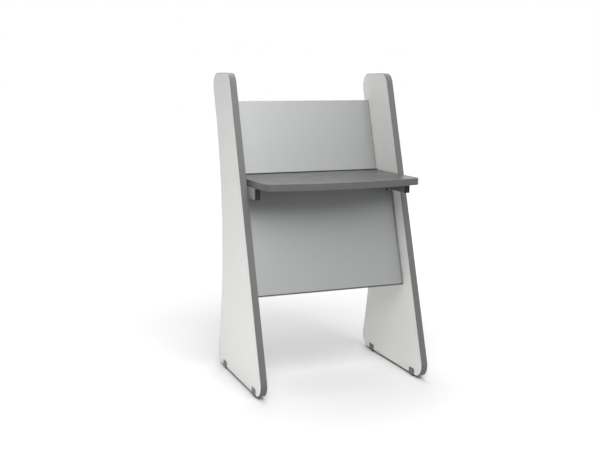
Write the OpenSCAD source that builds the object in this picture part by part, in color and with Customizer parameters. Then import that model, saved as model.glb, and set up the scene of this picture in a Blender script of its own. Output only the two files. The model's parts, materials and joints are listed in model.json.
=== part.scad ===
// Stand-up study carrel: two leaning side panels, a bow-fronted worktop on box-section arms,
// an upper and a lower sheet panel between the sides, and four saddle feet with levelling glides.
// Millimetres, X to the right, Y to the back, Z up, floor at Z = 0.

/* [Side panels] */
// Height from the floor to the top of the side panels
overall_h = 1400; // [1300:10:1500]
// Width across the outer faces of the side panels
overall_w = 810; // [700:10:1000]
// Thickness of each side panel
panel_t = 30; // [26:1:40]
// Lean of the front edge from upright, in degrees
front_lean = 17; // [13:0.5:19]
// Distance from the foot of the front edge to the waist of the back edge
waist_depth = 565; // [545:5:640]
// Height of the waist above the floor
waist_h = 657; // [600:1:720]
// Radius of the hollow back edge
back_r = 2100; // [1900:20:2800]
// Radius of the panel's four corners
corner_r = 60; // [40:1:70]
// Thickness of the edge band round the panels
band_t = 2; // [1:0.5:3]

/* [Worktop] */
// Height of the upper face above the floor
top_h = 935; // [880:5:1000]
// Thickness of the worktop
top_t = 30; // [25:1:40]
// Reach of the middle of the front edge ahead of the side panels
top_overhang = 276; // [200:1:300]
// Radius of the bowed front edge
bow_r = 1480; // [1000:20:3000]
// Radius of the two front corners
top_corner_r = 40; // [15:1:60]
// Gap between the worktop and each side panel
top_side_gap = 7; // [2:0.5:10]
// Gap for cables between the worktop's lower rear edge and the upper panel
cable_gap = 11; // [8:1:30]
// Thickness of the rubber strip that covers the cable gap
seal_t = 3; // [2:0.5:5]
// Height of the rubber strip's leg on the worktop's rear edge
seal_h = 18; // [10:1:24]
// Thickness of the edge band round the worktop
top_band_t = 2; // [1:0.5:3]

/* [Arms] */
// Width of the arm tube
arm_w = 25; // [20:1:40]
// Height of the arm tube
arm_h = 50; // [40:1:60]
// Wall of the arm tube
arm_wall = 2; // [1.5:0.1:3]
// Outer corner radius of the arm tube
arm_corner_r = 3; // [2.5:0.5:5]
// Distance from the worktop's front edge to the arms' front ends
arm_setback = 160; // [120:5:200]
// Gap between the arms' rear ends and the upper panel
arm_rear_gap = 5; // [2:1:15]
// Thickness of the end caps
cap_t = 4; // [3:0.5:6]
// Length of the end caps' plugs inside the tube
cap_plug = 12; // [8:1:16]
// Width of the rim of the end caps
cap_rim = 2.5; // [1.5:0.5:4]
// Width of the middle rib of the end caps
cap_rib = 6; // [4:0.5:8]
// Depth of the two grooves in the end caps
cap_groove = 7; // [2:0.5:8]

/* [Sheet panels] */
// Thickness of the sheet
sheet_t = 2; // [1:0.5:3]
// Width of the flanges screwed to the side panels
flange_w = 28; // [20:1:32]
// Distance from the top of the side panels down to the upper panel
upper_top_drop = 130; // [100:5:200]
// Margin between the upper panel's flange and the back edge, at its top
upper_margin = 10; // [6:1:40]
// Reach of the upper panel below the worktop
upper_below = 40; // [20:1:60]
// Outer bend radius of the upper panel
upper_bend_r = 6; // [4:1:12]
// Distance from the front edge back to the lower panel
lower_offset = 73; // [72:1:100]
// Height of the lower panel's bottom edge
lower_bottom = 420; // [350:1:550]
// Outer bend radius of the lower panel
lower_bend_r = 20; // [8:1:30]
// Gap between the lower panel and the worktop and arms above it
lower_top_gap = 2; // [1:1:8]
// Gap between the lower panel and the inner sides of the arms
lower_side_gap = 2; // [1:0.5:3]
// Diameter of the plugs' heads in the lower panel's upper corners
plug_head_d = 12; // [10:0.5:13]
// Height of the plugs' heads
plug_head_h = 3; // [2:0.5:4]
// Distance from the inner sides of the arms to the plugs
plug_inset = 7; // [7:1:40]
// Distance from the worktop's underside down to the plugs
plug_drop = 49; // [30:1:80]
// Wall of the trim on the lower panel's bottom edge
trim_t = 1.2; // [0.8:0.1:2]
// Height of the trim above the sheet's edge
trim_h = 5; // [3:0.5:12]

/* [Feet] */
// Distance from the front end of the flat bottom edge to the front saddles
front_foot_inset = 10; // [0:1:60]
// Distance from the rear end of the flat bottom edge to the rear saddles
rear_foot_inset = 21; // [0:1:60]
// Length of the saddles along the panel
saddle_w = 45; // [38:1:60]
// Height of the saddles' cheeks on the panel faces
saddle_h = 28; // [22:1:40]
// Thickness of the saddle plate
saddle_t = 3; // [2.5:0.5:4]
// Diameter of the glide pads
pad_d = 30; // [24:1:36]
// Height of the glide pads
pad_h = 5; // [4:0.5:8]
// Gap between pads and saddles, which is the travel upwards
level_gap = 1; // [1:0.5:6]
// Diameter of the glide studs
stud_d = 8; // [6:1:10]
// Length of the threaded inserts of the glides
foot_insert_len = 30; // [25:1:40]

/* [Fasteners] */
// Diameter of the bolts in the arms
bolt_d = 6; // [5:1:8]
// Diameter of the bolt heads
bolt_head_d = 12; // [10:0.5:14]
// Height of the arm bolts' heads
bolt_head_h = 4; // [3:0.5:6]
// Height of the worktop bolts' heads
top_bolt_head_h = 8; // [5:0.5:12]
// Wall of the threaded inserts
insert_wall = 1.5; // [1:0.1:2]
// Length of the threaded inserts of the bolts
insert_len = 18; // [12:1:20]
// Distance from the panel's front edge to the first arm bolt
bolt_inset = 65; // [30:1:66]
// Distance from the arm's rear end to the last bolt
bolt_rear_inset = 34; // [30:1:50]
// Diameter of the screws
screw_d = 4; // [3:0.5:5]
// Diameter of the screw heads
screw_head_d = 8; // [6.5:0.5:9]
// Height of the flange screws' heads
screw_head_h = 2.5; // [1.5:0.5:4]
// Length of the screws under the head
screw_len = 11; // [9:1:11]
// Distance from the flange ends to the first screw
screw_inset = 55; // [40:1:90]

/* [Hidden] */

// Clearances
fit_gap = 0.05;
hole_gap = 0.2;
bore_end_gap = 1;
plug_gap = 0.15;
seal_gap = 0.3;
trim_gap = 0.4;
trim_end_gap = 8;
insert_edge = 3;
round_over = 0.03;
cut = 1;

// Roundness of small circles and of the long arcs
$fn = 96;
arc_fn = 1440;

// Parts that repeat
screws_per_flange = 3;
bolts_per_arm = 4;
pad_floor = 2;
pad_bevel = 2;
saddle_corner_r = 4;
socket_ratio = 0.5;

// Colours
face_white = [0.90, 0.90, 0.89];
edge_grey = [0.45, 0.45, 0.45];
top_grey = [0.48, 0.48, 0.48];
satin_silver = [0.70, 0.71, 0.70];
plastic_black = [0.08, 0.08, 0.08];
saddle_grey = [0.30, 0.30, 0.30];
zinc = [0.75, 0.75, 0.72];

// Heights
floor_gap = pad_h + level_gap + saddle_t;
top_under = top_h - top_t;
arm_bottom = top_under - arm_h;
arm_mid = top_under - arm_h / 2;
upper_top = overall_h - upper_top_drop;
upper_bottom = top_under - upper_below;
notch_z = arm_bottom - lower_top_gap;

// Widths
inner_x = overall_w / 2 - panel_t;
mid_x = inner_x + panel_t / 2;
arm_mid_x = inner_x - arm_w / 2;
top_half = inner_x - top_side_gap;
notch_x = inner_x - arm_w - lower_side_gap;

// The front edge: its place at a height, and its inward normal in the panel's plane
function front_y(z) = z * tan(front_lean);
front_normal = [cos(front_lean), -sin(front_lean)];

// The back edge: an arc whose centre lies behind the panel
back_centre = [waist_depth + back_r, waist_h];
function back_y(z, grow = 0) = back_centre[0] - sqrt(pow(back_r + grow, 2) - pow(z - waist_h, 2));

// Centres of the four corner rounds
low_round_z = floor_gap + corner_r;
high_round_z = overall_h - corner_r;
function front_round(z) = [(corner_r + z * sin(front_lean)) / cos(front_lean), z];
function back_round(z) = [back_y(z, corner_r), z];
low_front = front_round(low_round_z);
high_front = front_round(high_round_z);
low_back = back_round(low_round_z);
high_back = back_round(high_round_z);
function toward_arc(p) = (back_centre - p) / norm(back_centre - p);

// Places of the sheets, as offsets behind the front edge
upper_depth = (upper_bend_r + flange_w) / cos(front_lean);
upper_offset = back_y(upper_top) - front_y(upper_top) - upper_depth - upper_margin;

// Ends of the worktop and of the arms
top_front = front_y(top_h) - top_overhang;
top_back = front_y(top_under) + upper_offset - cable_gap;
arm_front = top_front + arm_setback;
arm_rear = front_y(arm_bottom) + upper_offset - arm_rear_gap;

// Rounds of the worktop's front corners
bow_centre = [0, top_front + bow_r];
top_round_x = top_half - top_corner_r;
top_round = [top_round_x, bow_centre[1] - sqrt(pow(bow_r - top_corner_r, 2) - pow(top_round_x, 2))];
function from_bow(p) = (p - bow_centre) / norm(p - bow_centre);

// Bolt places along the arms: every other one holds the panel, the rest hold the worktop
first_bolt = front_y(arm_mid) + bolt_inset;
last_bolt = min(arm_rear, top_back) - bolt_rear_inset;
bolt_pitch = (last_bolt - first_bolt) / (bolts_per_arm - 1);
arm_bolt_y = [for (i = [0 : 2 : bolts_per_arm - 1]) first_bolt + i * bolt_pitch];
top_bolt_y = [for (i = [1 : 2 : bolts_per_arm - 1]) first_bolt + i * bolt_pitch];
insert_d = bolt_d + 2 * insert_wall;
top_bolt_x = min(arm_mid_x, top_half - top_band_t - insert_edge - insert_d / 2);
foot_insert_d = stud_d + 4;

// Screw places on a flange: heights at the sheet, then carried back along the flange
function spread(a, b) = [for (i = [0 : screws_per_flange - 1]) a + (b - a) * i / (screws_per_flange - 1)];
function flange_point(offset, depth, z) =
  [front_y(z) + offset + depth * front_normal[0], z + depth * front_normal[1]];
upper_screws = [for (z = spread(upper_bottom + screw_inset, upper_top - screw_inset))
  flange_point(upper_offset, upper_bend_r + flange_w / 2, z)];
lower_drop = (lower_bend_r + flange_w) * sin(front_lean);
lower_screws = [for (z = spread(lower_bottom + lower_drop + screw_inset, notch_z - screw_inset))
  flange_point(lower_offset, lower_bend_r + flange_w / 2, z)];

// Plug places on the lower panel: how far round its bend, and how far up its lean
plug_x = inner_x - arm_w - plug_inset;
lower_flat = inner_x - lower_bend_r;
plug_turn = asin(max(0, plug_x - lower_flat) / lower_bend_r);
plug_up = (top_under - plug_drop) / cos(front_lean);
plug_hole_d = plug_head_d / 2;
plug_stem = 8;

// Foot places
front_foot = low_front[0] + front_foot_inset + saddle_w / 2;
rear_foot = low_back[0] - rear_foot_inset - saddle_w / 2;
saddle_screw_y = (foot_insert_d + saddle_w) / 4;
saddle_screw_z = floor_gap + saddle_h / 2;
sink_h = (screw_head_d - screw_d) / 2;

// Middle of the whole part from front to back, which becomes Y = 0
y_min = min(top_front, low_front[0] - corner_r);
y_max = max(high_back[0], low_back[0]) + corner_r;
y_mid = (y_min + y_max) / 2;

// Puts a piece modelled for the right-hand side on the given side, in the part's frame
module placed(side = 1) {
  translate([0, -y_mid, 0])
    mirror([side < 0 ? 1 : 0, 0, 0])
      children();
}

// Extrudes an outline drawn in Y and Z along X
module along_x(x, length) {
  translate([x, 0, 0])
    rotate([90, 0, 90])
      linear_extrude(height = length)
        children();
}

// A round bar along X that starts at the given point
module bar_x(x, y, z, length, d, d_end = 0) {
  translate([x, y, z])
    rotate([0, 90, 0])
      cylinder(h = length, d1 = d, d2 = d_end > 0 ? d_end : d);
}

// A rectangle with round corners, centred
module rounded(size, r) {
  square([size[0] - 2 * r, size[1]], center = true);
  square([size[0], size[1] - 2 * r], center = true);
  for (x = [-1, 1], y = [-1, 1])
    translate([x * (size[0] / 2 - r), y * (size[1] / 2 - r)])
      circle(r);
}

// Discs that round the corners of an outline, a hair proud so that they cross its edges cleanly
module corner_rounds(points, r) {
  for (p = points)
    translate(p)
      circle(r + round_over);
}

// Side panel outline, drawn in by the inset: straight front, top and bottom, hollow back
module panel_outline(inset) {
  r = corner_r - inset;
  past_arc = corner_r + cut;
  difference() {
    union() {
      polygon([
        low_front - [0, r], low_back - [0, r], low_back,
        low_back + past_arc * toward_arc(low_back), high_back + past_arc * toward_arc(high_back),
        high_back, high_back + [0, r], high_front + [0, r],
        high_front - r * front_normal, low_front - r * front_normal
      ]);
      corner_rounds([low_front, low_back, high_back, high_front], r);
    }
    translate(back_centre)
      circle(back_r + inset, $fn = arc_fn);
  }
}

// Bores for the foot inserts, up through a panel's bottom edge
module foot_bores() {
  for (y = [front_foot, rear_foot])
    translate([mid_x, y, floor_gap - cut])
      cylinder(h = cut + foot_insert_len + level_gap + bore_end_gap, d = foot_insert_d + 2 * fit_gap);
}

// Board of a side panel, bored for the inserts and screws
module panel_board() {
  difference() {
    along_x(inner_x, panel_t)
      panel_outline(band_t);
    foot_bores();
    for (y = arm_bolt_y)
      bar_x(inner_x - cut, y, arm_mid, cut + insert_len + bore_end_gap, insert_d + 2 * fit_gap);
    for (p = concat(upper_screws, lower_screws))
      bar_x(inner_x - cut, p[0], p[1], cut + screw_len + bore_end_gap, screw_d + 2 * fit_gap);
    for (y = [front_foot, rear_foot], s = [-1, 1], face = [-1, 1])
      saddle_screw_place(y + s * saddle_screw_y, face)
        cylinder(h = screw_len + bore_end_gap, d = screw_d + 2 * fit_gap);
  }
}

// Edge band round a side panel
module edge_band() {
  difference() {
    along_x(inner_x, panel_t)
      difference() {
        panel_outline(0);
        panel_outline(band_t);
      }
    foot_bores();
  }
}

// Worktop outline, drawn in by the inset: straight back and sides, bowed front
module top_outline(inset) {
  r = top_corner_r - inset;
  half = top_half - inset;
  left_round = [-top_round[0], top_round[1]];
  polygon([
    left_round, top_round, [half, top_round[1]],
    [half, top_back - inset], [-half, top_back - inset], [-half, top_round[1]]
  ]);
  corner_rounds([top_round, left_round], r);
  intersection() {
    translate(bow_centre)
      circle(bow_r - inset, $fn = arc_fn);
    polygon([
      left_round,
      bow_centre + 2 * bow_r * from_bow(left_round),
      bow_centre + 2 * bow_r * from_bow(top_round),
      top_round
    ]);
  }
}

// Tube of an arm, drilled for its bolts
module arm() {
  y0 = arm_front + cap_t;
  length = arm_rear - arm_front - 2 * cap_t;
  difference() {
    translate([arm_mid_x, y0 + length, arm_mid])
      rotate([90, 0, 0])
        linear_extrude(height = length)
          difference() {
            rounded([arm_w, arm_h], arm_corner_r);
            rounded([arm_w - 2 * arm_wall, arm_h - 2 * arm_wall], arm_corner_r - arm_wall / 2);
          }
    for (y = arm_bolt_y)
      bar_x(inner_x - arm_w - cut, y, arm_mid, arm_w + 2 * cut, bolt_d + 2 * hole_gap);
    for (y = top_bolt_y)
      translate([top_bolt_x, y, arm_bottom - cut])
        cylinder(h = arm_h + 2 * cut, d = bolt_d + 2 * hole_gap);
  }
}

// End cap: a plate in front of the tube's end and a plug inside it, with two grooves, facing -Y
module arm_cap() {
  plug_less = 2 * (arm_wall + plug_gap);
  groove_w = (arm_w - 2 * cap_rim - cap_rib) / 2 - arm_wall;
  difference() {
    union() {
      rotate([-90, 0, 0])
        linear_extrude(height = cap_t)
          rounded([arm_w, arm_h], arm_corner_r);
      rotate([-90, 0, 0])
        linear_extrude(height = cap_t + cap_plug)
          rounded([arm_w - plug_less, arm_h - plug_less], arm_corner_r - arm_wall / 2);
    }
    for (s = [-1, 1])
      translate([s * (groove_w + cap_rib) / 2, cap_groove / 2 - cut / 2, 0])
        cube([groove_w, cap_groove + cut, arm_h - 2 * (cap_rim + arm_wall)], center = true);
  }
}

module front_cap() {
  translate([arm_mid_x, arm_front, arm_mid])
    arm_cap();
}

module rear_cap() {
  translate([arm_mid_x, arm_rear, arm_mid])
    rotate([0, 0, 180])
      arm_cap();
}

// Bolt with a socket head, standing head down on Z = 0
module bolt(length, head_h) {
  cylinder(h = length, d = bolt_d);
  difference() {
    translate([0, 0, -head_h])
      cylinder(h = head_h, d = bolt_head_d);
    translate([0, 0, -head_h - cut])
      cylinder(h = cut + head_h / 2, d = bolt_head_d * socket_ratio, $fn = 6);
  }
}

// Threaded sleeve standing on Z = 0
module sleeve(length, d_out, d_in) {
  difference() {
    cylinder(h = length, d = d_out);
    translate([0, 0, -cut])
      cylinder(h = length + 2 * cut, d = d_in + 2 * fit_gap);
  }
}

// Pan-head screw, standing head down on Z = 0
module screw() {
  cylinder(h = screw_len, d = screw_d);
  difference() {
    translate([0, 0, -screw_head_h])
      cylinder(h = screw_head_h, d1 = screw_head_d - screw_head_h, d2 = screw_head_d);
    translate([0, 0, -screw_head_h - cut])
      cylinder(h = cut + screw_head_h / 2, d = screw_head_d * socket_ratio, $fn = 6);
  }
}

// Bent sheet seen from above: flat front on the X axis, bent sides, flanges along the panels
module tray(bend_r, flange, grow = 0) {
  flat = inner_x - bend_r;
  translate([-flat, -grow])
    square([2 * flat, sheet_t + 2 * grow]);
  for (s = [0, 1])
    mirror([s, 0]) {
      intersection() {
        translate([flat, bend_r])
          difference() {
            circle(bend_r + grow);
            circle(bend_r - sheet_t - grow);
          }
        translate([flat, -grow])
          square([bend_r + grow, bend_r + grow]);
      }
      if (flange > 0)
        translate([inner_x - sheet_t, bend_r])
          square([sheet_t, flange]);
    }
}

// Extrudes a sheet's section up along the lean of the front edge
module leaning(offset) {
  translate([0, offset, 0])
    rotate([-front_lean, 0, 0])
      linear_extrude(height = overall_h / cos(front_lean))
        children();
}

// A level slice of space between two heights
module slice(z0, z1, half_w) {
  translate([-half_w, -overall_h, z0])
    cube([2 * half_w, 3 * overall_h, z1 - z0]);
}

module flange_screw_bores(points) {
  for (p = points, s = [0, 1])
    mirror([s, 0, 0])
      bar_x(inner_x - sheet_t - cut, p[0], p[1], sheet_t + 2 * cut, screw_d + 2 * hole_gap);
}

module flange_screws(points) {
  for (p = points, side = [-1, 1])
    placed(side)
      translate([inner_x - sheet_t, p[0], p[1]])
        rotate([0, 90, 0])
          screw();
}

// Sheet-metal saddle round a panel's bottom edge, at a place along it
module saddle(y) {
  translate([0, y, 0])
    difference() {
      union() {
        translate([inner_x - saddle_t, -saddle_w / 2, floor_gap - saddle_t])
          cube([panel_t + 2 * saddle_t, saddle_w, saddle_t]);
        for (x = [inner_x - saddle_t, inner_x + panel_t])
          along_x(x, saddle_t)
            translate([0, floor_gap - saddle_t])
              cheek();
      }
      translate([mid_x, 0, floor_gap - saddle_t - cut])
        cylinder(h = saddle_t + 2 * cut, d = stud_d + 4 * hole_gap);
      for (s = [-1, 1], face = [-1, 1])
        saddle_screw_place(s * saddle_screw_y, face) {
          translate([0, 0, -cut])
            cylinder(h = saddle_t + 2 * cut, d = screw_d + 2 * hole_gap);
          translate([0, 0, -cut])
            cylinder(h = cut, d = screw_head_d + 2 * hole_gap);
          cylinder(h = sink_h, d1 = screw_head_d + 2 * hole_gap, d2 = screw_d + 2 * hole_gap);
        }
    }
}

// Cheek of a saddle: a plate with round upper corners, from the saddle's underside up
module cheek() {
  h = saddle_h + saddle_t;
  round_y = saddle_w / 2 - saddle_corner_r;
  round_z = h - saddle_corner_r;
  polygon([
    [-saddle_w / 2, 0], [saddle_w / 2, 0], [saddle_w / 2, round_z],
    [round_y, h], [-round_y, h], [-saddle_w / 2, round_z]
  ]);
  corner_rounds([[round_y, round_z], [-round_y, round_z]], saddle_corner_r);
}

// Carries a piece drawn along +Z to a saddle's screw place: in from the outer or the inner cheek
module saddle_screw_place(y, face) {
  translate([mid_x + face * (panel_t / 2 + saddle_t), y, saddle_screw_z])
    rotate([0, -face * 90, 0])
      children();
}

// Countersunk screw, head face on Z = 0
module sunk_screw() {
  cylinder(h = screw_len, d = screw_d);
  difference() {
    cylinder(h = sink_h, d1 = screw_head_d, d2 = screw_d);
    translate([0, 0, -cut])
      cylinder(h = cut + sink_h / 2, d = screw_head_d * socket_ratio, $fn = 6);
  }
}

// Glide pad: a disc with a bevelled rim and a blind hole for its stud
module pad(y) {
  translate([mid_x, y, 0])
    difference() {
      union() {
        cylinder(h = pad_h - pad_bevel, d = pad_d);
        translate([0, 0, pad_h - pad_bevel])
          cylinder(h = pad_bevel, d1 = pad_d, d2 = pad_d - 2 * pad_bevel);
      }
      translate([0, 0, pad_floor])
        cylinder(h = pad_h, d = stud_d + 2 * fit_gap);
    }
}

module stud(y) {
  translate([mid_x, y, pad_floor])
    cylinder(h = floor_gap + foot_insert_len - pad_floor, d = stud_d);
}

// Side panels
module left_panel_board() { color(face_white) placed(-1) panel_board(); }
module right_panel_board() { color(face_white) placed(1) panel_board(); }
module left_edge_band() { color(edge_grey) placed(-1) edge_band(); }
module right_edge_band() { color(edge_grey) placed(1) edge_band(); }

// Worktop
module worktop_board() {
  color(top_grey)
    placed()
      difference() {
        translate([0, 0, top_under])
          linear_extrude(height = top_t)
            top_outline(top_band_t);
        for (y = top_bolt_y, s = [-1, 1])
          translate([s * top_bolt_x, y, top_under - cut])
            cylinder(h = cut + insert_len + bore_end_gap, d = insert_d + 2 * fit_gap);
      }
}

module worktop_edge_band() {
  color(edge_grey)
    placed()
      translate([0, 0, top_under])
        linear_extrude(height = top_t)
          difference() {
            top_outline(0);
            top_outline(top_band_t);
          }
}

// Rubber strip behind the worktop: a leg on its rear edge and a proud lip that reaches the upper panel
module worktop_rear_seal() {
  lip_end = front_y(top_h) + upper_offset - seal_gap;
  color(plastic_black)
    placed()
      along_x(-top_half, 2 * top_half)
        union() {
          translate([top_back, top_h - seal_h])
            square([seal_t, seal_h + seal_t]);
          translate([top_back, top_h])
            square([lip_end - top_back, seal_t]);
        }
}

// Arms
module left_arm() { color(satin_silver) placed(-1) arm(); }
module right_arm() { color(satin_silver) placed(1) arm(); }
module left_arm_front_cap() { color(plastic_black) placed(-1) front_cap(); }
module right_arm_front_cap() { color(plastic_black) placed(1) front_cap(); }
module left_arm_rear_cap() { color(plastic_black) placed(-1) rear_cap(); }
module right_arm_rear_cap() { color(plastic_black) placed(1) rear_cap(); }

module arm_bolts() {
  color(zinc)
    for (side = [-1, 1], y = arm_bolt_y)
      placed(side)
        translate([inner_x - arm_w, y, arm_mid])
          rotate([0, 90, 0])
            bolt(arm_w + insert_len - bore_end_gap, bolt_head_h);
}

module arm_inserts() {
  color(zinc)
    for (side = [-1, 1], y = arm_bolt_y)
      placed(side)
        translate([inner_x, y, arm_mid])
          rotate([0, 90, 0])
            sleeve(insert_len, insert_d, bolt_d);
}

module worktop_bolts() {
  color(plastic_black)
    for (side = [-1, 1], y = top_bolt_y)
      placed(side)
        translate([top_bolt_x, y, arm_bottom])
          bolt(arm_h + insert_len - bore_end_gap, top_bolt_head_h);
}

module worktop_inserts() {
  color(zinc)
    for (side = [-1, 1], y = top_bolt_y)
      placed(side)
        translate([top_bolt_x, y, top_under])
          sleeve(insert_len, insert_d, bolt_d);
}

// Sheet panels
module upper_back_panel() {
  color(satin_silver)
    placed()
      difference() {
        intersection() {
          leaning(upper_offset)
            tray(upper_bend_r, flange_w);
          slice(upper_bottom, upper_top, overall_w);
        }
        flange_screw_bores(upper_screws);
      }
}

module upper_panel_screws() { color(zinc) flange_screws(upper_screws); }

// The middle runs up to the worktop, and the sides are notched under the arms
module lower_front_panel() {
  color(satin_silver)
    placed()
      difference() {
        intersection() {
          leaning(lower_offset)
            tray(lower_bend_r, flange_w);
          union() {
            slice(lower_bottom, notch_z, overall_w);
            slice(lower_bottom, top_under - lower_top_gap, notch_x);
          }
        }
        flange_screw_bores(lower_screws);
        for (side = [0, 1])
          mirror([side, 0, 0])
            plug_place()
              translate([0, 0, -cut])
                cylinder(h = sheet_t + 2 * cut, d = plug_hole_d);
      }
}

// Carries a piece drawn along +Z to a plug's place: in through the lower panel from its front
module plug_place() {
  translate([0, lower_offset, 0])
    rotate([-front_lean, 0, 0])
      translate([min(plug_x, lower_flat), lower_bend_r, plug_up])
        rotate([0, 0, plug_turn])
          translate([0, -lower_bend_r, 0])
            rotate([-90, 0, 0])
              children();
}

// Plug: a bevelled head on the panel's front and a stem with a catch behind it
module plug() {
  bevel = plug_head_h / 2;
  stem_d = plug_hole_d - 3 * hole_gap;
  catch_h = plug_stem - sheet_t - 2 * hole_gap;
  translate([0, 0, -plug_head_h])
    cylinder(h = bevel, d1 = plug_head_d - 2 * bevel, d2 = plug_head_d);
  translate([0, 0, -plug_head_h + bevel])
    cylinder(h = plug_head_h - bevel, d = plug_head_d);
  cylinder(h = plug_stem, d = stem_d);
  translate([0, 0, plug_stem - catch_h])
    cylinder(h = catch_h, d1 = plug_hole_d, d2 = stem_d);
}

module lower_panel_plugs() {
  color(plastic_black)
    for (side = [-1, 1])
      placed(side)
        plug_place()
          plug();
}

// U-shaped trim pushed onto the bottom edge, from one side panel to the other
module lower_panel_trim() {
  color(saddle_grey)
    placed()
      difference() {
        intersection() {
          leaning(lower_offset)
            tray(lower_bend_r, 0, trim_t + trim_gap);
          slice(lower_bottom - trim_t, lower_bottom + trim_h, inner_x - trim_end_gap);
        }
        intersection() {
          leaning(lower_offset)
            tray(lower_bend_r, 0, trim_gap);
          slice(lower_bottom, top_under, overall_w);
        }
      }
}

module lower_panel_screws() { color(zinc) flange_screws(lower_screws); }

// Feet
module left_front_saddle() { color(saddle_grey) placed(-1) saddle(front_foot); }
module left_rear_saddle() { color(saddle_grey) placed(-1) saddle(rear_foot); }
module right_front_saddle() { color(saddle_grey) placed(1) saddle(front_foot); }
module right_rear_saddle() { color(saddle_grey) placed(1) saddle(rear_foot); }

module saddle_screws() {
  color(zinc)
    for (side = [-1, 1], y = [front_foot, rear_foot], s = [-1, 1], face = [-1, 1])
      placed(side)
        saddle_screw_place(y + s * saddle_screw_y, face)
          sunk_screw();
}

module foot_inserts() {
  color(zinc)
    for (side = [-1, 1], y = [front_foot, rear_foot])
      placed(side)
        translate([mid_x, y, floor_gap])
          sleeve(foot_insert_len, foot_insert_d, stud_d);
}

module left_front_stud() { color(zinc) placed(-1) stud(front_foot); }
module left_rear_stud() { color(zinc) placed(-1) stud(rear_foot); }
module right_front_stud() { color(zinc) placed(1) stud(front_foot); }
module right_rear_stud() { color(zinc) placed(1) stud(rear_foot); }
module left_front_pad() { color(plastic_black) placed(-1) pad(front_foot); }
module left_rear_pad() { color(plastic_black) placed(-1) pad(rear_foot); }
module right_front_pad() { color(plastic_black) placed(1) pad(front_foot); }
module right_rear_pad() { color(plastic_black) placed(1) pad(rear_foot); }

left_panel_board();
right_panel_board();
left_edge_band();
right_edge_band();
worktop_board();
worktop_edge_band();
worktop_rear_seal();
left_arm();
right_arm();
left_arm_front_cap();
right_arm_front_cap();
left_arm_rear_cap();
right_arm_rear_cap();
arm_bolts();
arm_inserts();
worktop_bolts();
worktop_inserts();
upper_back_panel();
upper_panel_screws();
lower_front_panel();
lower_panel_trim();
lower_panel_screws();
lower_panel_plugs();
left_front_saddle();
left_rear_saddle();
right_front_saddle();
right_rear_saddle();
saddle_screws();
foot_inserts();
left_front_stud();
left_rear_stud();
right_front_stud();
right_rear_stud();
left_front_pad();
left_rear_pad();
right_front_pad();
right_rear_pad();
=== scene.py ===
import json
import math

import bmesh
import bpy
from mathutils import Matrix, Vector

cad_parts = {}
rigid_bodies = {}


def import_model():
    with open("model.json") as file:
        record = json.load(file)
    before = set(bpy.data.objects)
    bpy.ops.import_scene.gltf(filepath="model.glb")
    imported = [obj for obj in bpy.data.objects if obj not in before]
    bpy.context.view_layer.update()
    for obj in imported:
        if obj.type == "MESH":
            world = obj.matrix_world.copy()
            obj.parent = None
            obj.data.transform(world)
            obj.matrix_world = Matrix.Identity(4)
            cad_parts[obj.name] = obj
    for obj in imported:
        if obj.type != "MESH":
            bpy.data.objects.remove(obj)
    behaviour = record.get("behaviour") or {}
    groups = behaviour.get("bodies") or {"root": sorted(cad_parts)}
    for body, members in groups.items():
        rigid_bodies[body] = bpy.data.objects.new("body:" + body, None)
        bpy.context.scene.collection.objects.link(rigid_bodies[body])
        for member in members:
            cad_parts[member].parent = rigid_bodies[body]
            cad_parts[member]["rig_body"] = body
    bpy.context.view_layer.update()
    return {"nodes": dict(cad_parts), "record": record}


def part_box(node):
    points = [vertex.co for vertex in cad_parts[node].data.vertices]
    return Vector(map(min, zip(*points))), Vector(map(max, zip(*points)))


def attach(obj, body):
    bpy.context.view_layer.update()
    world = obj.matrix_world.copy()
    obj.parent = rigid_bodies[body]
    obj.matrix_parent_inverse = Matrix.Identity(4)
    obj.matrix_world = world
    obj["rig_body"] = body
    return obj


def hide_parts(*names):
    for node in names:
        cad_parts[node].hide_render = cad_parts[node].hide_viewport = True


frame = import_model()
nodes = frame["nodes"]

# Camera at the photograph's angle, with its focal length in pixels of the photograph
PHOTO_W = 600
FOCAL_PX = 905.64
SENSOR_MM = 36.0
CAMERA_PLACE = (-1.61322, -3.83591, 1.35568)
CAMERA_TURN = (1.41489, 0, -0.3761)
FARTHEST_SEEN = 200

camera = bpy.data.objects.new("camera", bpy.data.cameras.new("camera"))
bpy.context.scene.collection.objects.link(camera)
camera.data.sensor_width = SENSOR_MM
camera.data.lens = FOCAL_PX * SENSOR_MM / PHOTO_W
camera.data.clip_end = FARTHEST_SEEN
camera.location = CAMERA_PLACE
camera.rotation_euler = CAMERA_TURN
bpy.context.scene.camera = camera
bpy.context.scene.view_settings.view_transform = "Standard"


def tone(red, green=None, blue=None):
    """A colour given as it looks on screen, 0 to 255, as the linear colour that the shader wants."""
    levels = (red, red if green is None else green, red if blue is None else blue)

    def linear(level):
        v = level / 255
        return v / 12.92 if v <= 0.04045 else ((v + 0.055) / 1.055) ** 2.4

    return tuple(linear(level) for level in levels) + (1.0,)


# Shared effects, as shader node groups
VECTOR = "NodeSocketVector"
FLOAT = "NodeSocketFloat"
MIDDLE = 0.5
FINER_BY = 4.0
FINE_SHARE = 0.35


def new_group(name, inputs, outputs):
    """A new group with its sockets, and the two nodes at its ends."""
    tree = bpy.data.node_groups.new(name, "ShaderNodeTree")
    for socket_name, kind, value in inputs:
        made = tree.interface.new_socket(name=socket_name, in_out="INPUT", socket_type=kind)
        if value is not None:
            made.default_value = value
    for socket_name, kind in outputs:
        tree.interface.new_socket(name=socket_name, in_out="OUTPUT", socket_type=kind)
    return tree, tree.nodes.new("NodeGroupInput"), tree.nodes.new("NodeGroupOutput")


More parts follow.
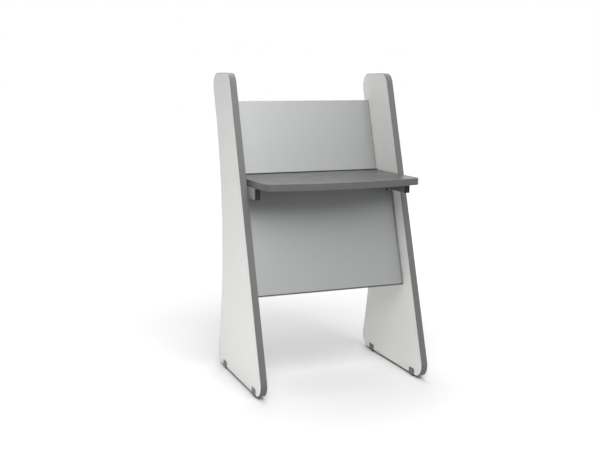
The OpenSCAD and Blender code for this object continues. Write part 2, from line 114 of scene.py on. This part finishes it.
def node(tree, kind, **values):
    """A new node with its settings and inputs, an input's spaces written as underscores."""
    made = tree.nodes.new(kind)
    for name, value in values.items():
        if hasattr(made, name) and name not in made.inputs:
            setattr(made, name, value)
        else:
            made.inputs[name.replace("_", " ")].default_value = value
    return made


def maths(tree, operation, second=None, **values):
    """A new maths node, with a plain number as its second input where one is given."""
    made = node(tree, "ShaderNodeMath", operation=operation, **values)
    if second is not None:
        made.inputs[1].default_value = second
    return made


def join(tree, start, end):
    tree.links.new(start, end)


def make_fine_grain():
    """Fine clouded grain, 0 to 1."""
    tree, start, end = new_group(
        "fine_grain",
        [("Vector", VECTOR, None), ("Scale", FLOAT, 400.0), ("Contrast", FLOAT, 1.0)],
        [("Grain", FLOAT)])
    noise = node(tree, "ShaderNodeTexNoise", Detail=4.0, Roughness=0.6)
    off_middle = maths(tree, "SUBTRACT", MIDDLE)
    gain = maths(tree, "MULTIPLY")
    back = maths(tree, "ADD", MIDDLE, use_clamp=True)
    join(tree, start.outputs["Vector"], noise.inputs["Vector"])
    join(tree, start.outputs["Scale"], noise.inputs["Scale"])
    join(tree, noise.outputs["Fac"], off_middle.inputs[0])
    join(tree, off_middle.outputs[0], gain.inputs[0])
    join(tree, start.outputs["Contrast"], gain.inputs[1])
    join(tree, gain.outputs[0], back.inputs[0])
    join(tree, back.outputs[0], end.inputs["Grain"])
    return tree


def make_flecks():
    """Small scattered flecks, 1 inside a fleck."""
    tree, start, end = new_group(
        "flecks",
        [("Vector", VECTOR, None), ("Scale", FLOAT, 900.0), ("Size", FLOAT, 0.25)],
        [("Flecks", FLOAT)])
    cells = node(tree, "ShaderNodeTexVoronoi", Randomness=1.0)
    inside = node(tree, "ShaderNodeMapRange", interpolation_type="SMOOTHSTEP", From_Max=0.0, To_Max=1.0)
    join(tree, start.outputs["Vector"], cells.inputs["Vector"])
    join(tree, start.outputs["Scale"], cells.inputs["Scale"])
    join(tree, cells.outputs["Distance"], inside.inputs["Value"])
    join(tree, start.outputs["Size"], inside.inputs["From Min"])
    join(tree, inside.outputs["Result"], end.inputs["Flecks"])
    return tree


def make_orange_peel():
    """Height of the soft dimples that a sprayed, baked or moulded skin has."""
    tree, start, end = new_group(
        "orange_peel",
        [("Vector", VECTOR, None), ("Scale", FLOAT, 250.0)],
        [("Height", FLOAT)])
    broad = node(tree, "ShaderNodeTexNoise", Detail=1.0, Roughness=0.4)
    finer = maths(tree, "MULTIPLY", FINER_BY)
    fine = node(tree, "ShaderNodeTexNoise", Detail=2.0, Roughness=0.5)
    less = maths(tree, "MULTIPLY", FINE_SHARE)
    both = maths(tree, "ADD")
    for noise in (broad, fine):
        join(tree, start.outputs["Vector"], noise.inputs["Vector"])
    join(tree, start.outputs["Scale"], broad.inputs["Scale"])
    join(tree, start.outputs["Scale"], finer.inputs[0])
    join(tree, finer.outputs[0], fine.inputs["Scale"])
    join(tree, fine.outputs["Fac"], less.inputs[0])
    join(tree, broad.outputs["Fac"], both.inputs[0])
    join(tree, less.outputs[0], both.inputs[1])
    join(tree, both.outputs[0], end.inputs["Height"])
    return tree


def make_hand_marks():
    """Broad soft patches where hands and cloths have changed the gloss, 0 to 1."""
    tree, start, end = new_group(
        "hand_marks",
        [("Vector", VECTOR, None), ("Scale", FLOAT, 9.0)],
        [("Marks", FLOAT)])
    noise = node(tree, "ShaderNodeTexNoise", Detail=3.0, Roughness=0.55, Distortion=0.4)
    spread = node(tree, "ShaderNodeMapRange", interpolation_type="SMOOTHSTEP", From_Min=0.3, From_Max=0.7)
    join(tree, start.outputs["Vector"], noise.inputs["Vector"])
    join(tree, start.outputs["Scale"], noise.inputs["Scale"])
    join(tree, noise.outputs["Fac"], spread.inputs["Value"])
    join(tree, spread.outputs["Result"], end.inputs["Marks"])
    return tree


def make_edge_wear():
    """Where edges are rubbed: the marked rounds, broken up into patches, 0 to 1."""
    tree, start, end = new_group(
        "edge_wear",
        [("Vector", VECTOR, None), ("Worn", FLOAT, 0.0), ("Scale", FLOAT, 70.0), ("Amount", FLOAT, 0.4)],
        [("Wear", FLOAT)])
    noise = node(tree, "ShaderNodeTexNoise", Detail=5.0, Roughness=0.65)
    patches = node(tree, "ShaderNodeMapRange", interpolation_type="SMOOTHSTEP", From_Min=0.4, From_Max=0.62)
    on_edge = maths(tree, "MULTIPLY")
    wear = maths(tree, "MULTIPLY")
    join(tree, start.outputs["Vector"], noise.inputs["Vector"])
    join(tree, start.outputs["Scale"], noise.inputs["Scale"])
    join(tree, noise.outputs["Fac"], patches.inputs["Value"])
    join(tree, patches.outputs["Result"], on_edge.inputs[0])
    join(tree, start.outputs["Worn"], on_edge.inputs[1])
    join(tree, on_edge.outputs[0], wear.inputs[0])
    join(tree, start.outputs["Amount"], wear.inputs[1])
    join(tree, wear.outputs[0], end.inputs["Wear"])
    return tree


def make_draw_lines():
    """Fine lines left by rolling or drawing the metal, 0 to 1, with a density along each axis."""
    tree, start, end = new_group(
        "draw_lines",
        [("Vector", VECTOR, None), ("Density", VECTOR, (1500.0, 1500.0, 12.0))],
        [("Lines", FLOAT)])
    stretched = node(tree, "ShaderNodeVectorMath", operation="MULTIPLY")
    noise = node(tree, "ShaderNodeTexNoise", Scale=1.0, Detail=2.0, Roughness=0.5)
    join(tree, start.outputs["Vector"], stretched.inputs[0])
    join(tree, start.outputs["Density"], stretched.inputs[1])
    join(tree, stretched.outputs[0], noise.inputs["Vector"])
    join(tree, noise.outputs["Fac"], end.inputs["Lines"])
    return tree


FINE_GRAIN = make_fine_grain()
FLECKS = make_flecks()
ORANGE_PEEL = make_orange_peel()
HAND_MARKS = make_hand_marks()
EDGE_WEAR = make_edge_wear()
DRAW_LINES = make_draw_lines()

# Finishes, with tones as they look on screen, and grain, peel and lines in repeats to the metre
WORN = "worn"
LINE_SHARE = 0.35
UP_THE_SHEET = (1500.0, 30.0, 10.0)
ALONG_THE_ARM = (1200.0, 8.0, 1200.0)


def effect(tree, group, coords, **values):
    """A shared effect in a tree, with its inputs set."""
    made = tree.nodes.new("ShaderNodeGroup")
    made.node_tree = group
    for name, value in values.items():
        made.inputs[name].default_value = value
    join(tree, coords, made.inputs["Vector"])
    return made


def blend(tree, factor, first, second):
    """Mix a colour, plain or from the tree, with a plain one."""
    mixed = node(tree, "ShaderNodeMix", data_type="RGBA")
    mixed.inputs["B"].default_value = second
    join(tree, factor, mixed.inputs["Factor"])
    if isinstance(first, tuple):
        mixed.inputs["A"].default_value = first
    else:
        join(tree, first, mixed.inputs["A"])
    return mixed.outputs["Result"]


def finish(name, light, dark, grain=400.0, contrast=1.0, fleck=None, fleck_scale=900.0, fleck_size=0.25,
           rough=(0.4, 0.5), peel=250.0, peel_depth=0.00002, peel_strength=0.3, metallic=0.0, specular=0.5,
           lines=None, line_tone=None, line_gloss=0.05, rubbed=None, rub_amount=0.4):
    """A finish with a clouded two-tone grain, uneven gloss and a dimpled skin.

    Where it has them, it also takes flecks, the lines of rolled or drawn metal and rubbed edges.
    """
    material = bpy.data.materials.new(name)
    material.use_nodes = True
    tree = material.node_tree
    shader = tree.nodes["Principled BSDF"]
    shader.inputs["Metallic"].default_value = metallic
    shader.inputs["Specular IOR Level"].default_value = specular
    coords = node(tree, "ShaderNodeTexCoord").outputs["Object"]
    clouds = effect(tree, FINE_GRAIN, coords, Scale=grain, Contrast=contrast)
    colour = blend(tree, clouds.outputs["Grain"], dark, light)
    marks = effect(tree, HAND_MARKS, coords)
    gloss = node(tree, "ShaderNodeMapRange", To_Min=rough[0], To_Max=rough[1])
    join(tree, marks.outputs["Marks"], gloss.inputs["Value"])
    roughness = gloss.outputs["Result"]
    skin = effect(tree, ORANGE_PEEL, coords, Scale=peel)
    height = skin.outputs["Height"]
    if fleck:
        spots = effect(tree, FLECKS, coords, Scale=fleck_scale, Size=fleck_size)
        colour = blend(tree, spots.outputs["Flecks"], colour, fleck)
    if lines:
        drawn = effect(tree, DRAW_LINES, coords, Density=lines)
        faint = node(tree, "ShaderNodeMapRange", To_Max=LINE_SHARE)
        join(tree, drawn.outputs["Lines"], faint.inputs["Value"])
        colour = blend(tree, faint.outputs["Result"], colour, line_tone)
        uneven = maths(tree, "MULTIPLY_ADD", line_gloss)
        join(tree, drawn.outputs["Lines"], uneven.inputs[0])
        join(tree, roughness, uneven.inputs[2])
        roughness = uneven.outputs[0]
        furrowed = maths(tree, "ADD")
        join(tree, height, furrowed.inputs[0])
        join(tree, drawn.outputs["Lines"], furrowed.inputs[1])
        height = furrowed.outputs[0]
    if rubbed:
        wear = effect(tree, EDGE_WEAR, coords, Amount=rub_amount)
        marked = node(tree, "ShaderNodeAttribute", attribute_name=WORN)
        join(tree, marked.outputs["Fac"], wear.inputs["Worn"])
        colour = blend(tree, wear.outputs["Wear"], colour, rubbed)
    join(tree, colour, shader.inputs["Base Color"])
    join(tree, roughness, shader.inputs["Roughness"])
    bump = node(tree, "ShaderNodeBump", Strength=peel_strength, Distance=peel_depth)
    join(tree, height, bump.inputs["Height"])
    join(tree, bump.outputs["Normal"], shader.inputs["Normal"])
    return material


FINISHES = {
    "panel_white": finish("white_melamine", tone(245, 245, 242), tone(241, 241, 238), grain=300,
                          rough=(0.42, 0.5), peel=500, specular=0.3),
    "edge_grey": finish("grey_edge_band", tone(99), tone(93), grain=500, rough=(0.45, 0.55), peel=600,
                        rubbed=tone(128), rub_amount=0.35),
    "top_grey": finish("grey_laminate", tone(72), tone(65), grain=700, fleck=tone(79), rough=(0.28, 0.36),
                       peel=700),
    "satin_silver": finish("satin_silver", tone(148, 150, 149), tone(140, 142, 141), grain=900,
                           fleck=tone(168, 170, 169), fleck_scale=1500, rough=(0.37, 0.39), peel=300,
                           metallic=0.45, lines=UP_THE_SHEET, line_tone=tone(158, 161, 159),
                           rubbed=tone(200, 202, 200)),
    "black_plastic": finish("black_plastic", tone(40), tone(33), rough=(0.5, 0.6), peel=1200,
                            rubbed=tone(70)),
    "black_rubber": finish("black_rubber", tone(22), tone(16), rough=(0.7, 0.8), peel=900),
    "black_steel": finish("black_steel", tone(32), tone(25), rough=(0.4, 0.5), peel=900, metallic=0.3),
    "trim_grey": finish("dark_trim", tone(75), tone(67), rough=(0.45, 0.55), peel=700, rubbed=tone(105)),
    "saddle_grey": finish("saddle_paint", tone(112), tone(104), rough=(0.4, 0.5), peel=350,
                          rubbed=tone(165)),
    "zinc": finish("zinc_plate", tone(205, 206, 204), tone(188, 190, 190), grain=250, rough=(0.28, 0.36),
                   metallic=1.0),
}
arm_finish = finish("arm_silver", tone(135, 138, 136), tone(127, 130, 128), grain=900,
                    fleck=tone(155, 158, 156), fleck_scale=1500, rough=(0.38, 0.42), peel=300,
                    metallic=0.45, lines=ALONG_THE_ARM, line_tone=tone(145, 148, 146))
OWN_FINISH = {
    "worktop_edge_band": finish("grey_top_band", tone(87), tone(81), grain=500, rough=(0.45, 0.55),
                                peel=600, rubbed=tone(116), rub_amount=0.35),
    "left_arm": arm_finish,
    "right_arm": arm_finish,
    "saddle_screws": finish("dark_zinc", tone(98), tone(88), grain=250, rough=(0.42, 0.5), metallic=0.4),
}
SLOT_OF = {part["node"]: part["material_slot"] for part in frame["record"]["subparts"]}


def dress(piece, name):
    """Give a piece the finish of a solid: its own, or the one of its slot."""
    piece.data.materials.clear()
    piece.data.materials.append(OWN_FINISH.get(name) or FINISHES[SLOT_OF[name]])


for name, solid in nodes.items():
    dress(solid, name)

# Ways of working that the pieces share
MERGE = 1e-6
FLAT = math.radians(0.3)
SHARP = math.radians(25)
SMOOTH_DEGREES = 40
TURNED_SMOOTH_DEGREES = 35
SEED = 0.001
QUARTER = math.pi / 2
SORT_DIGITS = 4
CORNERS = ("left_front", "left_rear", "right_front", "right_rear")


def alone(piece):
    """Leave only this piece selected."""
    bpy.ops.object.select_all(action="DESELECT")
    piece.select_set(True)
    bpy.context.view_layer.objects.active = piece


def edit(piece):
    """Work on this piece's points, edges and faces, starting with points."""
    alone(piece)
    bpy.ops.object.mode_set(mode="EDIT")
    bpy.ops.mesh.select_mode(type="VERT")


def done():
    bpy.ops.object.mode_set(mode="OBJECT")


def copy_solid(name, piece_name):
    """A copy of a solid to work on: its own mesh, merged, with each flat face made whole."""
    piece = bpy.data.objects.new(piece_name, nodes[name].data.copy())
    bpy.context.scene.collection.objects.link(piece)
    edit(piece)
    bpy.ops.mesh.select_all(action="SELECT")
    bpy.ops.mesh.remove_doubles(threshold=MERGE)
    bpy.ops.mesh.dissolve_limited(angle_limit=FLAT)
    done()
    return piece


def pick_edges(piece, test):
    """In edit mode, select the sharp edges that pass the test."""
    bpy.ops.mesh.select_mode(type="EDGE")
    bpy.ops.mesh.select_all(action="DESELECT")
    shape = bmesh.from_edit_mesh(piece.data)
    for edge in shape.edges:
        if len(edge.link_faces) == 2 and edge.calc_face_angle() > SHARP and test(edge):
            edge.select_set(True)
    bmesh.update_edit_mesh(piece.data)


def round_edges(piece, width, steps, test=lambda edge: True):
    """Round the sharp edges that pass the test, and mark the middle of each round for wear."""
    edit(piece)
    pick_edges(piece, test)
    bpy.ops.mesh.bevel(offset=width, offset_type="OFFSET", segments=steps, affect="EDGES", clamp_overlap=True)
    shape = bmesh.from_edit_mesh(piece.data)
    worn = shape.verts.layers.float.get(WORN) or shape.verts.layers.float.new(WORN)
    for vertex in shape.verts:
        if vertex.select and all(face.select for face in vertex.link_faces):
            vertex[worn] = 1.0
    bmesh.update_edit_mesh(piece.data)
    bpy.ops.mesh.select_all(action="SELECT")
    bpy.ops.mesh.dissolve_degenerate(threshold=MERGE)
    done()


def convex(edge):
    return edge.is_convex


def smooth(piece, angle=SMOOTH_DEGREES):
    """Shade the rounds smooth and keep the flat faces flat."""
    alone(piece)
    bpy.ops.object.shade_smooth_by_angle(angle=math.radians(angle))
    level = piece.modifiers.new("flat_faces", "WEIGHTED_NORMAL")
    level.keep_sharp = True
    bpy.ops.object.modifier_apply(modifier=level.name)


def stands_for(piece, name):
    """The piece takes a solid's place, body and finish."""
    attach(piece, nodes[name]["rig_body"])
    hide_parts(name)
    dress(piece, name)


def turned(name, profile, steps=32):
    """A piece turned about the Z axis from radius and height points that start and end on the axis."""
    bpy.ops.object.select_all(action="DESELECT")
    bpy.ops.mesh.primitive_plane_add(size=SEED)
    piece = bpy.context.object
    piece.name = name
    edit(piece)
    bpy.ops.mesh.select_all(action="SELECT")
    bpy.ops.mesh.merge(type="CENTER")
    bpy.ops.transform.translate(value=(profile[0][0], 0, profile[0][1]))
    for here, there in zip(profile, profile[1:]):
        step = (there[0] - here[0], 0, there[1] - here[1])
        bpy.ops.mesh.extrude_vertices_move(TRANSFORM_OT_translate={"value": step})
    bpy.ops.mesh.select_all(action="SELECT")
    bpy.ops.mesh.spin(steps=steps, angle=2 * math.pi, center=(0, 0, 0), axis=(0, 0, 1))
    bpy.ops.mesh.select_all(action="SELECT")
    bpy.ops.mesh.remove_doubles(threshold=MERGE)
    bpy.ops.mesh.normals_make_consistent(inside=False)
    done()
    return piece


def socket(piece, radius, top, depth):
    """Sink a six-sided socket into a turned head."""
    bpy.ops.object.select_all(action="DESELECT")
    bpy.ops.mesh.primitive_cylinder_add(vertices=6, radius=radius, depth=2 * depth, location=(0, 0, top))
    cutter = bpy.context.object
    sunk = piece.modifiers.new("socket", "BOOLEAN")
    sunk.operation = "DIFFERENCE"
    sunk.solver = "EXACT"
    sunk.object = cutter
    alone(piece)
    bpy.ops.object.modifier_apply(modifier=sunk.name)
    bpy.data.objects.remove(cutter)


def copy_to(model, name, turn, place):
    """A copy of a finished model with its own mesh, turned and moved to its place."""
    piece = bpy.data.objects.new(name, model.data.copy())
    bpy.context.scene.collection.objects.link(piece)
    piece.rotation_euler = turn
    piece.location = place
    alone(piece)
    bpy.ops.object.transform_apply(location=True, rotation=True, scale=True)
    return piece


def put_away(models):
    """Remove the models once their copies are in place."""
    for model in models:
        bpy.data.objects.remove(model)


def loose_boxes(name):
    """Lowest and highest corner of each loose solid in a node, from a copy taken apart."""
    piece = copy_solid(name, "taken_apart")
    edit(piece)
    bpy.ops.mesh.separate(type="LOOSE")
    done()
    boxes = []
    for part in list(bpy.context.selected_objects):
        points = [vertex.co for vertex in part.data.vertices]
        low = Vector(min(point[axis] for point in points) for axis in range(3))
        high = Vector(max(point[axis] for point in points) for axis in range(3))
        boxes.append((low, high))
        bpy.data.objects.remove(part)
    return sorted(boxes, key=lambda box: tuple(round(value, SORT_DIGITS) for value in box[0]))


def dome(radius, foot, top, steps=6):
    """Points of a domed head from its rim at a height up to the axis."""
    rise = top - foot
    return [(radius * math.cos(turn), foot + rise * math.sin(turn))
            for turn in (QUARTER * step / steps for step in range(steps + 1))]


# Edge bands: the outer edges are rounded, the edges at the board stay tight
BAND_ROUND = 0.0015
BAND_STEPS = 3
SIDE_LIMIT = 0.5
ACROSS = Vector((1, 0, 0))
UP = Vector((0, 0, 1))


def outer_edge(middle, through):
    """A test for a band's outer edges, seen from the middle of a board, with the axis through its faces."""
    def test(edge):
        for face in edge.link_faces:
            out = face.normal
            if out.dot(face.calc_center_median() - middle) > 0 and abs(out.dot(through)) < SIDE_LIMIT:
                return True
        return False
    return test


def make_band(name, piece_name, low, high, through):
    """A band with its outer edges rounded, round a board with these corners."""
    band = copy_solid(name, piece_name)
    round_edges(band, BAND_ROUND, BAND_STEPS, outer_edge((low + high) / 2, through))
    smooth(band)
    stands_for(band, name)


for side in ("left", "right"):
    low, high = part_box(side + "_panel_board")
    make_band(side + "_edge_band", side + "_band", low, high, ACROSS)
low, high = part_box("worktop_board")
make_band("worktop_edge_band", "worktop_band", low, high, UP)

# Pieces whose edges are only broken: the piece's name, the width of the break and its steps
SOFT_EDGES = {
    # The worktop's rear seal is a black strip in the gap behind the worktop; its black is partly painted
    # shade, standing in for the shade down in that gap.
    "worktop_rear_seal": ("rear_seal", 0.0007, 3),
    "upper_back_panel": ("upper_sheet", 0.0004, 2),
    "lower_front_panel": ("lower_sheet", 0.0004, 2),
    "lower_panel_trim": ("bottom_trim", 0.0003, 2),
    "lower_panel_plugs": ("sheet_plugs", 0.0006, 3),
    "left_arm_front_cap": ("left_front_cap", 0.0006, 3),
    "right_arm_front_cap": ("right_front_cap", 0.0006, 3),
    "left_arm_rear_cap": ("left_rear_cap", 0.0006, 3),
    "right_arm_rear_cap": ("right_rear_cap", 0.0006, 3),
}
for name, (piece_name, width, steps) in SOFT_EDGES.items():
    piece = copy_solid(name, piece_name)
    round_edges(piece, width, steps)
    smooth(piece)
    stands_for(piece, name)

# Saddles: round folds under the cheeks, broken edges elsewhere
FOLD_R = 0.0025
FOLD_STEPS = 4
SADDLE_BREAK = 0.0004
SADDLE_STEPS = 2
NEAR = 0.0005
LENGTHWISE = 0.9


def fold_edge(low, high):
    """A test for the two bottom edges that run along a saddle with these corners."""
    def test(edge):
        ends = [vertex.co for vertex in edge.verts]
        along = (ends[1] - ends[0]).normalized()
        return (abs(along.y) > LENGTHWISE and all(end.z < low.z + NEAR for end in ends)
                and all(end.x < low.x + NEAR or end.x > high.x - NEAR for end in ends))
    return test


for corner in CORNERS:
    low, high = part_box(corner + "_saddle")
    saddle = copy_solid(corner + "_saddle", corner + "_shoe")
    round_edges(saddle, FOLD_R, FOLD_STEPS, fold_edge(low, high))
    round_edges(saddle, SADDLE_BREAK, SADDLE_STEPS)
    smooth(saddle)
    stands_for(saddle, corner + "_saddle")

# Glides: a pad with a rounded rim and a threaded stud
PAD_BEVEL = 0.002
PAD_FLOOR = 0.002
PAD_ROUND = 0.0008
PAD_ROUND_STEPS = 3
PAD_STEPS = 48
BORE_GAP = 0.00005
STUD_STEPS = 24
STUD_FOOT_TAPER = 0.0008
STUD_END_TAPER = 0.001
THREAD_PITCH = 0.00125
THREAD_DEPTH = 0.0006
THREAD_START = 0.0005
THREAD_ENDS = 0.002
CREST = (0.45, 0.55)


def stud_outline(radius, length):
    """A stud with a ring groove for each turn of its thread."""
    root = radius - THREAD_DEPTH
    outline = [(0, 0), (radius - STUD_FOOT_TAPER, 0), (root, THREAD_START)]
    for turn in range(int((length - THREAD_ENDS) / THREAD_PITCH)):
        foot = THREAD_START + turn * THREAD_PITCH
        outline += [(radius, foot + share * THREAD_PITCH) for share in CREST]
        outline.append((root, foot + THREAD_PITCH))
    return outline + [(radius - STUD_END_TAPER, length), (0, length)]


def pad_outline(radius, height, bore):
    """A pad with a bevelled top and a blind bore for the stud."""
    return [(0, 0), (radius, 0), (radius, height - PAD_BEVEL), (radius - PAD_BEVEL, height), (bore, height),
            (bore, PAD_FLOOR), (0, PAD_FLOOR)]


low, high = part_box("left_front_stud")
stud_r = (high.x - low.x) / 2
stud_profile = stud_outline(stud_r, high.z - low.z)
low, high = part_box("left_front_pad")
pad_profile = pad_outline((high.x - low.x) / 2, high.z - low.z, stud_r + BORE_GAP)
pad_model = turned("pad_model", pad_profile, PAD_STEPS)
round_edges(pad_model, PAD_ROUND, PAD_ROUND_STEPS, convex)
stud_model = turned("stud_model", stud_profile, STUD_STEPS)
for model in (pad_model, stud_model):
    smooth(model, TURNED_SMOOTH_DEGREES)
for corner in CORNERS:
    for model, kind, piece_name in ((pad_model, "_pad", "_glide"), (stud_model, "_stud", "_thread")):
        low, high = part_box(corner + kind)
        place = ((low.x + high.x) / 2, (low.y + high.y) / 2, low.z)
        stands_for(copy_to(model, corner + piece_name, (0, 0, 0), place), corner + kind)
put_away((pad_model, stud_model))

# Screws and bolts, each modelled once with its head up and its seat at the origin
SCREW_R = 0.002
SCREW_L = 0.011
SCREW_TIP_R = 0.0003
SCREW_POINT = 0.002
SCREW_HEAD_R = 0.004
SCREW_HEAD_H = 0.0025
HEAD_BREAK = 0.0003
DOME_FOOT = 0.0005
SINK_H = 0.002
SINK_BREAK = 0.0001
FLUSH = 0.0
BOLT_R = 0.003
BOLT_HEAD_R = 0.006
BOLT_ROUND = 0.0006
BOLT_ROUND_STEPS = 3
ARM_BOLT_L = 0.042
ARM_HEAD_H = 0.004
TOP_BOLT_L = 0.067
TOP_HEAD_H = 0.008
SOCKET_RATIO = 0.5


def bolt(name, length, head_h):
    """A bolt with a flat head, its edges broken, and a socket half as deep as the head."""
    made = turned(name, [(0, -length), (BOLT_R, -length), (BOLT_R, 0), (BOLT_HEAD_R, 0),
                         (BOLT_HEAD_R, head_h), (0, head_h)])
    round_edges(made, BOLT_ROUND, BOLT_ROUND_STEPS, convex)
    socket(made, BOLT_HEAD_R * SOCKET_RATIO, head_h, head_h / 2)
    return made


point = [(0, -SCREW_L), (SCREW_TIP_R, -SCREW_L), (SCREW_R, -SCREW_L + SCREW_POINT)]
pan_head = [(SCREW_R, 0), (SCREW_HEAD_R - HEAD_BREAK, 0), (SCREW_HEAD_R, HEAD_BREAK)]
pan_screw = turned("pan_screw", point + pan_head + dome(SCREW_HEAD_R, DOME_FOOT, SCREW_HEAD_H))
socket(pan_screw, SCREW_HEAD_R * SOCKET_RATIO, SCREW_HEAD_H, SCREW_HEAD_H / 2)
sunk_head = [(SCREW_R, -SINK_H), (SCREW_HEAD_R - SINK_BREAK, -SINK_BREAK),
             (SCREW_HEAD_R - HEAD_BREAK, 0), (0, 0)]
sunk_screw = turned("sunk_screw", point + sunk_head)
socket(sunk_screw, SCREW_HEAD_R * SOCKET_RATIO, 0, SINK_H / 2)
arm_bolt = bolt("arm_bolt", ARM_BOLT_L, ARM_HEAD_H)
top_bolt = bolt("top_bolt", TOP_BOLT_L, TOP_HEAD_H)
fastener_models = (pan_screw, sunk_screw, arm_bolt, top_bolt)
for model in fastener_models:
    smooth(model, TURNED_SMOOTH_DEGREES)


def fasten(model, name, piece_name, head_h, facing):
    """A copy of the model in place of each loose solid of a node, with its head facing the given way."""
    for number, (low, high) in enumerate(loose_boxes(name), start=1):
        middle = (low + high) / 2
        way = facing(middle)
        if way == "down":
            turn = (math.pi, 0, 0)
            seat = (middle.x, middle.y, low.z + head_h)
        elif way == "left":
            turn = (0, -QUARTER, 0)
            seat = (low.x + head_h, middle.y, middle.z)
        else:
            turn = (0, QUARTER, 0)
            seat = (high.x - head_h, middle.y, middle.z)
        stands_for(copy_to(model, "%s_%d" % (piece_name, number), turn, seat), name)


panel_middle = sum((corner.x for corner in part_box("right_panel_board")), 0.0) / 2


def downwards(middle):
    return "down"


def inwards(middle):
    return "left" if middle.x > 0 else "right"


def out_of_cheek(middle):
    """Away from the middle of the side panel that a saddle wraps."""
    return "left" if 0 < middle.x < panel_middle or middle.x < -panel_middle else "right"


fasten(pan_screw, "upper_panel_screws", "upper_screw", SCREW_HEAD_H, inwards)
fasten(pan_screw, "lower_panel_screws", "lower_screw", SCREW_HEAD_H, inwards)
fasten(sunk_screw, "saddle_screws", "shoe_screw", FLUSH, out_of_cheek)
fasten(arm_bolt, "arm_bolts", "arm_bolt", ARM_HEAD_H, inwards)
fasten(top_bolt, "worktop_bolts", "top_bolt", TOP_HEAD_H, downwards)
put_away(fastener_models)

# Pale floor: it catches the shadow, away from the object it goes over into the white backdrop,
# and from below it is clear
FLOOR_SIZE = 60
FLOOR_WHITE = 0.85
FLOOR_ROUGH = 0.9
FLOOR_NEAR = 0.0
FLOOR_FAR = 0.9
FADE_START = 0.3
FADE_END = 7.0

bpy.ops.object.select_all(action="DESELECT")
bpy.ops.mesh.primitive_plane_add(size=FLOOR_SIZE, location=(0, 0, 0))
floor = bpy.context.object
floor.name = "floor"
paper = bpy.data.materials.new("floor_paper")
paper.use_nodes = True
sheet = paper.node_tree
paper_shader = sheet.nodes["Principled BSDF"]
paper_shader.inputs["Base Color"].default_value = (FLOOR_WHITE, FLOOR_WHITE, FLOOR_WHITE, 1)
paper_shader.inputs["Roughness"].default_value = FLOOR_ROUGH
paper_shader.inputs["Specular IOR Level"].default_value = 0.0
paper_shader.inputs["Emission Color"].default_value = (1, 1, 1, 1)
floor.data.materials.append(paper)


def seen_directly(tree):
    """1 for what the camera, gloss and glass look at, 0 for light that bounces."""
    rays = node(tree, "ShaderNodeLightPath")
    seen = maths(tree, "MAXIMUM")
    seen_all = maths(tree, "MAXIMUM")
    join(tree, rays.outputs["Is Camera Ray"], seen.inputs[0])
    join(tree, rays.outputs["Is Glossy Ray"], seen.inputs[1])
    join(tree, seen.outputs[0], seen_all.inputs[0])
    join(tree, rays.outputs["Is Transmission Ray"], seen_all.inputs[1])
    return seen_all.outputs[0]


from_middle = node(sheet, "ShaderNodeVectorMath", operation="LENGTH")
join(sheet, node(sheet, "ShaderNodeTexCoord").outputs["Object"], from_middle.inputs[0])
fade = node(sheet, "ShaderNodeMapRange", From_Min=FADE_START, From_Max=FADE_END, To_Min=FLOOR_NEAR,
            To_Max=FLOOR_FAR)
join(sheet, from_middle.outputs["Value"], fade.inputs["Value"])
glow = maths(sheet, "MULTIPLY")
join(sheet, fade.outputs["Result"], glow.inputs[0])
join(sheet, seen_directly(sheet), glow.inputs[1])
join(sheet, glow.outputs[0], paper_shader.inputs["Emission Strength"])
one_sided = node(sheet, "ShaderNodeMixShader")
join(sheet, node(sheet, "ShaderNodeNewGeometry").outputs["Backfacing"], one_sided.inputs[0])
join(sheet, paper_shader.outputs["BSDF"], one_sided.inputs[1])
join(sheet, node(sheet, "ShaderNodeBsdfTransparent").outputs["BSDF"], one_sided.inputs[2])
join(sheet, one_sided.outputs[0], sheet.nodes["Material Output"].inputs["Surface"])

# Light: a pale room that the camera and the gloss see as white, a wide soft key from the front,
# soft lamps above and behind, and two weak fills from the left, one of them low
AMBIENT = 0.16
SEEN_WHITE = 1.0

world = bpy.data.worlds.new("studio")
bpy.context.scene.world = world
world.use_nodes = True
sky = world.node_tree
backdrop = sky.nodes["Background"]
backdrop.inputs["Color"].default_value = (1, 1, 1, 1)
level = node(sky, "ShaderNodeMapRange", To_Min=AMBIENT, To_Max=SEEN_WHITE)
join(sky, seen_directly(sky), level.inputs["Value"])
join(sky, level.outputs["Result"], backdrop.inputs["Strength"])


def soft_lamp(name, place, target, size, watts):
    """A square lamp turned towards its target."""
    lamp = bpy.data.objects.new(name, bpy.data.lights.new(name, "AREA"))
    bpy.context.scene.collection.objects.link(lamp)
    lamp.data.size = size
    lamp.data.energy = watts
    lamp.location = place
    lamp.rotation_euler = (Vector(target) - Vector(place)).to_track_quat("-Z", "Y").to_euler()


soft_lamp("key_lamp", place=(-0.5, -3.5, 4.0), target=(0, 0, 0.7), size=4.0, watts=217)
soft_lamp("top_lamp", place=(0, 0.3, 5.0), target=(0, 0.2, 0), size=3.0, watts=95)
soft_lamp("rear_lamp", place=(0.6, 3.0, 4.0), target=(0, 0.3, 0.4), size=3.0, watts=67)
soft_lamp("left_fill", place=(-3.5, -1.0, 2.5), target=(0, 0, 0.7), size=2.5, watts=5.0)
soft_lamp("low_fill", place=(-1.6, -0.2, 0.35), target=(-0.4, 0.05, 0.15), size=0.6, watts=2.2)
